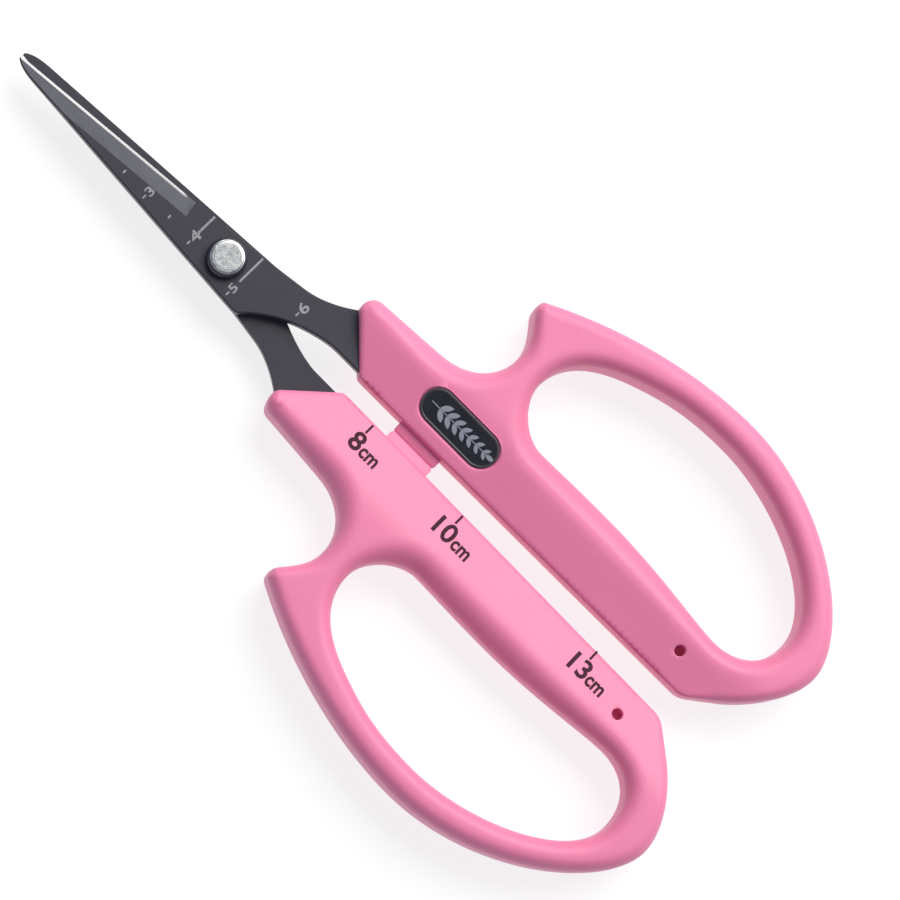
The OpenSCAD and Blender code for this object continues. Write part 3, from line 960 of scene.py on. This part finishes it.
def rivet_shell():
    tail_z = -BLADE_T - RUN_GAP - WASHER_T
    head_top = BLADE_T + HEAD_H
    dome = shoulder(TAIL_D / 2, tail_z - 0.2, 1.0, tail_z - TAIL_H)
    tail = [(0.0, tail_z - TAIL_H), *dome[::-1]]
    shank = [(TAIL_D / 2, tail_z), (SHANK_D / 2, tail_z), (SHANK_D / 2, BLADE_T)]
    head = [(HEAD_D / 2 - 0.06, BLADE_T), (HEAD_D / 2, BLADE_T + 0.06)]
    head += shoulder(HEAD_D / 2, BLADE_T + 0.4, HEAD_FLAT_D / 2 + 0.16, head_top - 0.22)
    face = shoulder(HEAD_FLAT_D / 2 + 0.06, head_top - 0.2, HEAD_FLAT_D / 2 - 0.22, head_top, 5)
    face += [(HEAD_FLAT_D / 2 * f, head_top) for f in (0.7, 0.4, 0.15)]
    face += [(0.0, head_top)]
    # bright on the tail's dome; from its rim up to the head's face the blade's black coating,
    # which on the head's flank is painted shade and dark reflection; then bright
    kinds = [0] * len(tail) + [1] * (len(shank) + len(head) - 1) + [0] * (len(face) + 1)
    return revolved(tail + shank + head + face, kinds)


rivet = rivet_shell()
pivot_rivet = mesh_piece("pivot_rivet_turned", rivet.points, rivet.faces,
                         [RIVET_FACE, BLACK_COAT], 35, rivet.kinds)


def washer_shell():
    shell = Shell()
    top = -BLADE_T - RUN_GAP
    bottom = top - WASHER_T
    r_out, r_in, c = WASHER_D / 2, WASHER_BORE_D / 2, 0.08
    profile = [(r_in, bottom), (r_out - c, bottom), (r_out, bottom + c), (r_out, top - c),
               (r_out - c, top), (r_in, top)]
    rows = [turned_row(shell, r, z) for r, z in profile]
    for a, b in zip(rows, rows[1:] + rows[:1]):
        shell.strip(a, b)
    return shell


washer = washer_shell()
tail_washer = mesh_piece("tail_washer_pressed", washer.points, washer.faces, [BLACK_COAT], 35)

# ---------------------------------------------------------------- label


def label_shell():
    """Pill plate with a raised rim round its face, lying in the right handle's recess."""
    shell = Shell()
    rows = []
    for shrink, lift in PLATE_ROWS:
        outline = pill(LABEL_LEN - shrink, LABEL_W - shrink)
        rows.append(shell.add_points([on_slope(u, v, lift) for u, v in outline]))
    for i, (a, b) in enumerate(zip(rows, rows[1:])):
        shell.strip(a, b, 1 if i < len(rows) - 2 else 0)
    shell.fan(rows[0], on_slope(0, 0, -LABEL_T), True)
    shell.fan(rows[-1], on_slope(0, 0, -LABEL_SINK), False)
    return shell


plate = label_shell()
# from the upper face of a handle on the +Y side to that of the right handle
label_plate = mesh_piece("label_plate_face", [(x, -y, z) for x, y, z in plate.points],
                         [f[::-1] for f in plate.faces], [LABEL_GLOSS, LABEL_RIM], 30, plate.kinds)

# ---------------------------------------------------------------- scale marks and motif


class Tree:
    """A geometry node tree with named inputs."""

    def __init__(self, name, **inputs):
        self.group = bpy.data.node_groups.new(name, "GeometryNodeTree")
        sockets = self.group.interface
        sockets.new_socket("Geometry", in_out="OUTPUT", socket_type="NodeSocketGeometry")
        kinds = {int: "NodeSocketInt", float: "NodeSocketFloat"}
        self.ids = {}
        for label, value in inputs.items():
            kind = kinds.get(type(value), "NodeSocketMaterial")
            socket = sockets.new_socket(label.replace("_", " "), in_out="INPUT", socket_type=kind)
            self.ids[label] = socket.identifier
            if value is not None:
                socket.default_value = value
        self.source = self.add("NodeGroupInput")
        self.sink = self.add("NodeGroupOutput")

    def value(self, label):
        return self.source.outputs[label.replace("_", " ")]

    def feed(self, item, socket):
        """A number or another node's output into a socket."""
        if isinstance(item, (int, float)):
            socket.default_value = item
        else:
            self.group.links.new(item, socket)

    def add(self, kind, inputs=(), **settings):
        """A node, with what goes into its sockets by their names."""
        made = node(self.group, kind, **settings)
        for label, item in dict(inputs).items():
            self.feed(item, made.inputs[label])
        return made

    def vector(self, **parts):
        return self.add("ShaderNodeCombineXYZ", parts).outputs[0]

    def maths(self, operation, *items):
        made = self.add("ShaderNodeMath", operation=operation)
        for item, socket in zip(items, made.inputs):
            self.feed(item, socket)
        return made.outputs[0]

    def finish(self, geometry):
        real = self.add("GeometryNodeRealizeInstances", {"Geometry": geometry})
        paint = self.add("GeometryNodeSetMaterial", {"Geometry": real.outputs["Geometry"],
                                                     "Material": self.value("Finish")})
        self.feed(paint.outputs["Geometry"], self.sink.inputs["Geometry"])

    def make(self, **values):
        """Runs the tree with these inputs and returns the plain mesh."""
        carrier = add_object("carrier", bpy.data.meshes.new("carrier"))
        run = carrier.modifiers.new("grow", "NODES")
        run.node_group = self.group
        for label, value in values.items():
            run[self.ids[label]] = value
        mesh = plain_mesh(carrier)
        carrier.modifiers.remove(run)
        bpy.data.objects.remove(carrier)
        return mesh


def marks_tree():
    """A row of equal strokes, standing across the row."""
    t = Tree("stroke_row", Count=3, Pitch=10.0, Stroke_Length=2.0, Stroke_Width=0.3,
             Stroke_Depth=0.03, Finish=None)
    step = t.vector(X=t.maths("MULTIPLY", t.value("Pitch"), -1.0))
    row = t.add("GeometryNodeMeshLine", {"Count": t.value("Count"), "Offset": step})
    size = t.vector(X=t.value("Stroke_Width"), Y=t.value("Stroke_Length"),
                    Z=t.value("Stroke_Depth"))
    stroke = t.add("GeometryNodeMeshCube", {"Size": size, "Vertices Y": 8})
    copies = t.add("GeometryNodeInstanceOnPoints", {"Points": row.outputs["Mesh"],
                                                    "Instance": stroke.outputs["Mesh"]})
    t.finish(copies.outputs["Instances"])
    return t


STEM_START, STEM_RUN = -0.36, 0.42      # where leaves grow, as shares of the stem's length
TIP_AT = 0.47                           # where the last leaf grows, likewise
STEM_W = 0.16


def sprig_tree():
    """A stem with pairs of pointed leaves that grow smaller towards its tip."""
    t = Tree("leafy_sprig", Pairs=6, Stem_Length=11.0, Leaf_Length=1.9, Leaf_Width=0.62,
             Leaf_Angle=52.0, Tip_Share=0.55, Depth=0.03, Finish=None)

    def up_the_stem(share):
        return t.vector(X=t.maths("MULTIPLY", t.value("Stem_Length"), share))

    stem = t.add("GeometryNodeMeshLine", {"Count": t.value("Pairs")}, mode="END_POINTS")
    t.feed(up_the_stem(STEM_START), stem.inputs["Start Location"])
    t.feed(up_the_stem(STEM_RUN), stem.inputs["Offset"])
    disc = t.add("GeometryNodeMeshCylinder",
                 {"Vertices": 28, "Radius": 0.5, "Depth": t.value("Depth")}, fill_type="NGON")
    # pinch the disc towards both ends, so that it comes to two points
    where = t.add("GeometryNodeInputPosition")
    x, y, z = t.add("ShaderNodeSeparateXYZ", {"Vector": where.outputs[0]}).outputs
    reach = t.maths("ABSOLUTE", t.maths("MULTIPLY", x, 2.0))
    pinch = t.maths("SUBTRACT", 1.0, t.maths("POWER", reach, 2.2))
    width = t.maths("POWER", t.maths("MAXIMUM", pinch, 0.02), 0.5)
    place = t.vector(
        X=t.maths("MULTIPLY", t.maths("ADD", x, 0.5), t.value("Leaf_Length")),
        Y=t.maths("MULTIPLY", t.maths("MULTIPLY", y, width), t.value("Leaf_Width")), Z=z)
    leaf = t.add("GeometryNodeSetPosition", {"Geometry": disc.outputs["Mesh"],
                                             "Position": place}).outputs["Geometry"]
    number = t.add("GeometryNodeInputIndex")
    share = t.maths("DIVIDE", number.outputs[0], t.maths("SUBTRACT", t.value("Pairs"), 1.0))
    loss = t.maths("SUBTRACT", 1.0, t.value("Tip_Share"))
    shrink = t.maths("SUBTRACT", 1.0, t.maths("MULTIPLY", share, loss))
    size = t.vector(X=shrink, Y=shrink, Z=1.0)
    both = t.add("GeometryNodeJoinGeometry")
    for side in (1.0, -1.0):
        turn = t.vector(Z=t.maths("MULTIPLY", t.maths("RADIANS", t.value("Leaf_Angle")), side))
        copies = t.add("GeometryNodeInstanceOnPoints", {
            "Points": stem.outputs["Mesh"], "Instance": leaf, "Rotation": turn, "Scale": size})
        t.feed(copies.outputs["Instances"], both.inputs[0])
    rod_size = t.vector(X=t.value("Stem_Length"), Y=STEM_W, Z=t.value("Depth"))
    rod = t.add("GeometryNodeMeshCube", {"Size": rod_size, "Vertices X": 12})
    t.feed(rod.outputs["Mesh"], both.inputs[0])
    tip = t.add("GeometryNodeTransform", {"Geometry": leaf, "Translation": up_the_stem(TIP_AT)})
    tip.inputs["Scale"].default_value = (0.8, 0.8, 1.0)
    t.feed(tip.outputs["Geometry"], both.inputs[0])
    t.finish(both.outputs[0])
    return t


STROKES = marks_tree()
SPRIG = sprig_tree()


FONT_SIZE = 1.38    # the font's size for figures 1 high


def lettering(text, height, stroke, widen):
    """Flat outline of a short number or unit, its lower left corner at the origin."""
    curve = bpy.data.curves.new("figures", "FONT")
    curve.body = text
    curve.size = height * FONT_SIZE
    curve.offset = stroke
    curve.resolution_u = 5
    curve.fill_mode = "BOTH"
    curve.extrude = 0.015
    carrier = add_object("figures", curve)
    mesh = plain_mesh(carrier)
    bpy.data.objects.remove(carrier)
    form = bmesh.new()
    form.from_mesh(mesh)
    bmesh.ops.remove_doubles(form, verts=form.verts, dist=1e-5)
    bmesh.ops.recalc_face_normals(form, faces=form.faces)
    low = [min(v.co[i] for v in form.verts) for i in (0, 1)]
    for v in form.verts:
        v.co.x = (v.co.x - low[0]) * widen
        v.co.y -= low[1]
    form.to_mesh(mesh)
    form.free()
    return mesh


def join_marks(name, parts, place_on, material):
    """One piece out of flat marks. Each part is (mesh, origin, right, up) in the plane of
    the surface, and place_on(x, y, lift) gives the point on it."""
    points, faces = [], []
    for mesh, origin, right, up in parts:
        first = len(points)
        for v in mesh.vertices:
            p = np.array(origin) + np.array(right) * v.co.x + np.array(up) * v.co.y
            points.append(place_on(p[0], p[1], v.co.z))
        faces.extend([first + i for i in f.vertices] for f in mesh.polygons)
    return mesh_piece(name, points, faces, [material], 30, outwards=True)


def strokes(length, width, depth, finish, count=1):
    """Equal strokes a centimetre apart."""
    return STROKES.make(Count=count, Pitch=10.0, Stroke_Length=length, Stroke_Width=width,
                        Stroke_Depth=depth, Finish=finish)


INK_LIFT, ETCH_LIFT, FOIL_LIFT = 0.012, 0.008, 0.006       # marks' middle over the surface
ALONG_X = ((1, 0), (0, 1))              # right and up of marks that read along +X
ALONG_BACK = ((-1, 0), (0, -1))
ACROSS_DOWN = ((0, -1), (1, 0))


def on_left_face(x, y, lift):
    """On the left handle's upper face."""
    return (x, y, float(face_height([(x, y)])[0]) + INK_LIFT + lift)


# Printed depth scale on the left handle: its baseline faces the gap, letters read
# towards the tail.
HANDLE_SCALE = [(80.0, "8"), (100.0, "10"), (130.0, "13")]
HANDLE_ZERO = BLADE_REACH - 0.45
TICK_Y, FIGURE_Y = 3.0, 7.5
handle_marks = []
for depth, figure in HANDLE_SCALE:
    tick_x = HANDLE_ZERO - depth
    handle_marks.append((strokes(1.85, 0.4, 0.03, SCALE_PRINT), (tick_x, TICK_Y), *ALONG_X))
    number = lettering(figure, 3.25, 0.11, 1.04)
    width = max(v.co.x for v in number.vertices)
    unit = lettering("cm", 2.5, 0.1, 0.86)
    number_x = tick_x + (width / 2 if len(figure) == 1 else width / 2 + 0.35)
    handle_marks.append((number, (number_x, FIGURE_Y), *ALONG_BACK))
    handle_marks.append((unit, (number_x - width - 0.2, FIGURE_Y), *ALONG_BACK))
handle_scale = join_marks("handle_depth_scale", handle_marks, on_left_face, SCALE_PRINT)


def on_blade_face(x, y, lift):
    return (x, y, BLADE_T + ETCH_LIFT + lift)


# Etched scale on the upper blade, which counts from a little in front of the tip: depth,
# figure, the figure's height and the foot of its dash
SCALE_ZERO = BLADE_REACH + 0.4
BLADE_SCALE = [(30.0, "3", 1.55, 1.3), (40.0, "4", 1.8, 1.45), (50.0, "5", 1.5, 2.75),
               (60.0, "6", 1.8, -2.8)]
LONG_STROKES = [(40.0, 0.3, -3.4), (50.0, 1.1, -4.15)]      # depth, upper end, lower end
HALVES_AT = (25.0, 1.75)
blade_marks = []
for depth, figure, height, foot in BLADE_SCALE:
    x = SCALE_ZERO - depth
    blade_marks.append((strokes(0.75, 0.26, 0.02, ETCHED_SCALE), (x, foot + 1.0), *ALONG_X))
    number = lettering(figure, height, 0.045, 1.35)
    half = max(v.co.y for v in number.vertices) / 2
    blade_marks.append((number, (x - half, foot + 0.4), *ACROSS_DOWN))
halves = strokes(0.65, 0.28, 0.02, ETCHED_SCALE, 2)
blade_marks.append((halves, (SCALE_ZERO - HALVES_AT[0], HALVES_AT[1]), *ALONG_X))
for depth, top, bottom in LONG_STROKES:
    middle = (SCALE_ZERO - depth, (top + bottom) / 2)
    blade_marks.append((strokes(top - bottom, 0.36, 0.02, ETCHED_SCALE), middle, *ALONG_X))
blade_scale = join_marks("blade_depth_scale", blade_marks, on_blade_face, ETCHED_SCALE)


def on_label_face(u, v, lift):
    x, y, z = on_slope(u, v, FOIL_LIFT - LABEL_SINK + lift)
    return (x, -y, z)


sprig = SPRIG.make(Pairs=7, Stem_Length=12.2, Leaf_Length=2.3, Leaf_Width=0.95,
                   Leaf_Angle=43.0, Tip_Share=0.62, Depth=0.02, Finish=LABEL_SILVER)
label_motif = join_marks("label_sprig", [(sprig, (0, 0), (-1, 0), (0, 1))], on_label_face,
                         LABEL_SILVER)

# ---------------------------------------------------------------- bodies

for piece, body, cad_node, slot in (
        (upper_blade, "upper_half", "upper_blade", "blade_coat"),
        (right_handle, "upper_half", "right_handle", "handle_plastic"),
        (pivot_rivet, "upper_half", "pivot_rivet", "rivet_steel"),
        (tail_washer, "upper_half", "tail_washer", "washer_coat"),
        (label_plate, "upper_half", "label_plate", "label_face"),
        (lower_blade, "lower_half", "lower_blade", "blade_coat"),
        (left_handle, "lower_half", "left_handle", "handle_plastic")):
    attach(piece, body)
    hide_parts(cad_node)
for piece, body, slot in ((handle_scale, "lower_half", "handle_plastic"),
                          (blade_scale, "upper_half", "blade_coat"),
                          (label_motif, "upper_half", "label_face")):
    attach(piece, body)

# ---------------------------------------------------------------- floor, light, camera


def make_floor():
    mesh = bpy.data.meshes.new("floor")
    half = 2.5
    corners = [(-half, -half, 0), (half, -half, 0), (half, half, 0), (-half, half, 0)]
    mesh.from_pydata(corners, [], [(0, 1, 2, 3)])
    floor = add_object("floor", mesh)
    # a light table: its own glow keeps the shadows faint
    m, _, _ = new_material("pale_floor", (0.25, 0.25, 0.25), 0.9, Specular_IOR_Level=0.0,
                           Emission_Color=(1, 1, 1, 1), Emission_Strength=0.8)
    mesh.materials.append(m)


def make_key_light():
    """One large soft light from the right handle's side."""
    data = bpy.data.lights.new("key", "AREA")
    data.shape = "RECTANGLE"
    data.size, data.size_y = 1.1, 0.8
    data.energy = 17.0
    data.color = (1.0, 0.985, 0.91)
    lamp = add_object("key", data)
    lamp.location = (0.03, -0.72, 0.86)
    lamp.rotation_mode = "QUATERNION"
    lamp.rotation_quaternion = (-lamp.location).to_track_quat("-Z", "Y")


def make_world():
    """Dim, slightly blue light from all round."""
    world = bpy.data.worlds.new("studio")
    bpy.context.scene.world = world
    world.use_nodes = True
    sky = world.node_tree.nodes["Background"].inputs
    sky["Color"].default_value = (0.86, 0.92, 1.12, 1)
    sky["Strength"].default_value = 0.29


make_floor()
make_key_light()
make_world()

TILT = math.radians(9.3)            # lean of the view towards +Y
SIDE_TILT = math.radians(0.2866)    # and towards +X
ROLL = math.radians(45.632)
CAMERA_OFF = 753.87
LENS = 191.0904     # for a sensor 36 wide
AIM = (-46.082, -4.217)


def make_camera():
    """The view from nearly straight above, turned so that the tips point to the upper left."""
    back = Vector((math.sin(SIDE_TILT), math.sin(TILT) * math.cos(SIDE_TILT),
                   math.cos(TILT) * math.cos(SIDE_TILT)))
    right = Vector((-math.cos(ROLL), -math.sin(ROLL), 0))
    right = (right - back * right.dot(back)).normalized()
    up = back.cross(right)
    data = bpy.data.cameras.new("camera")
    data.sensor_width = 36
    data.lens = LENS
    data.clip_start, data.clip_end = 0.01, 20
    camera = add_object("camera", data)
    place = PIVOT + (Vector((AIM[0], AIM[1], 0)) + back * CAMERA_OFF) * MM
    turn = Matrix((right, up, back)).transposed()
    camera.matrix_world = Matrix.Translation(place) @ turn.to_4x4()
    bpy.context.scene.camera = camera


make_camera()
bpy.context.scene.view_settings.view_transform = "Standard"
